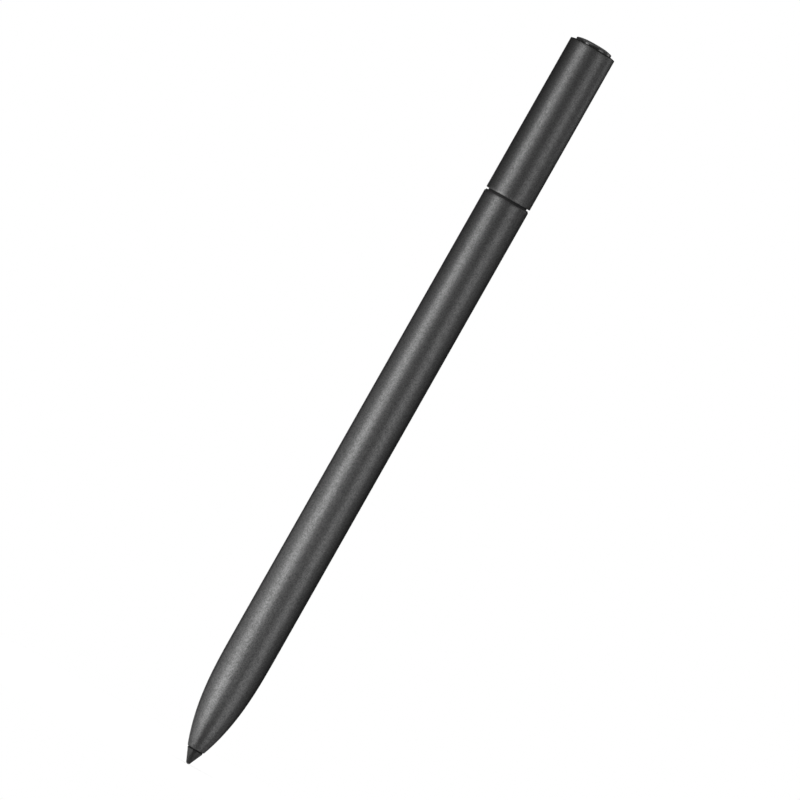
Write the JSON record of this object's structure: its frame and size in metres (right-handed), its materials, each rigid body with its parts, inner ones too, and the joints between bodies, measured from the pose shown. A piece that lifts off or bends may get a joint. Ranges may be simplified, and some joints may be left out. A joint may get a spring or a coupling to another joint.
{
  "type": "stylus pen",
  "caption": "Slim active stylus pen with a tapered nose, side keys, a sliding cap over its charging socket and an end button.",
  "frame": {"origin": "the nib's point, on the pen's axis", "axes": "+Z along the pen's axis from the nib to the end button, +Y out of the side keys, -Y out of the charging socket"},
  "size_m": [0.0094, 0.0096, 0.1578],
  "materials": {
    "anodised_aluminium": "bead-blasted, dark grey anodised",
    "nib_plastic": "matt",
    "button_plastic": "gloss",
    "stem_plastic": "fine moulded",
    "inner_plastic": "moulded",
    "brass": "turned",
    "silicone": "matt",
    "foam": "open cell",
    "sensor_body": "moulded",
    "ribbon": "satin",
    "circuit_board": "solder mask",
    "steel": "stamped",
    "cell_can": "drawn can"
  },
  "bodies": {
    "barrel": {"barrel": "anodised_aluminium", "nib_guide": "inner_plastic", "tilt_electrode": "brass", "sensor_housing": "inner_plastic", "pressure_sensor": "sensor_body", "sensor_flex": "ribbon", "chassis": "inner_plastic", "main_board": "circuit_board", "radio_module": "sensor_body", "shield_can": "steel", "front_key_dome": "steel", "rear_key_dome": "steel", "battery_cell": "cell_can", "battery_leads": "steel", "battery_bumper": "foam", "link_flex": "ribbon", "stem": "stem_plastic", "charge_port_shell": "steel", "charge_port_tongue": "inner_plastic", "charge_board": "circuit_board", "switch_flex": "ribbon", "cap_seal": "silicone", "end_switch_board": "circuit_board", "end_switch_dome": "steel"},
    "nib": {"nib": "nib_plastic", "nib_holder": "brass", "pressure_pad": "silicone"},
    "front_key": {"front_key": "anodised_aluminium"},
    "rear_key": {"rear_key": "anodised_aluminium"},
    "cap": {"cap_sleeve": "anodised_aluminium", "cap_liner": "inner_plastic", "button_spring": "steel"},
    "end_button": {"end_button": "button_plastic"}
  },
  "joints": [
    {"name": "nib_press", "type": "slide", "parent": "barrel", "child": "nib", "axis": [0, 0, 1], "range_m": [0, 0.0002], "stiffness_N_per_m": 15000, "deforming": ["pressure_pad"]},
    {"name": "front_key_press", "type": "slide", "parent": "barrel", "child": "front_key", "axis": [0, -1, 0], "range_m": [0, 0.00025], "stiffness_N_per_m": 6000, "deforming": ["front_key_dome"]},
    {"name": "rear_key_press", "type": "slide", "parent": "barrel", "child": "rear_key", "axis": [0, -1, 0], "range_m": [0, 0.00025], "stiffness_N_per_m": 6000, "deforming": ["rear_key_dome"]},
    {"name": "cap_slide", "type": "slide", "parent": "barrel", "child": "cap", "axis": [0, 0, 1], "range_m": [0, 0.014]},
    {"name": "end_button_press", "type": "slide", "parent": "cap", "child": "end_button", "axis": [0, 0, -1], "range_m": [0, 0.00022], "stiffness_N_per_m": 9000, "deforming": ["end_switch_dome", "button_spring"]}
  ]
}
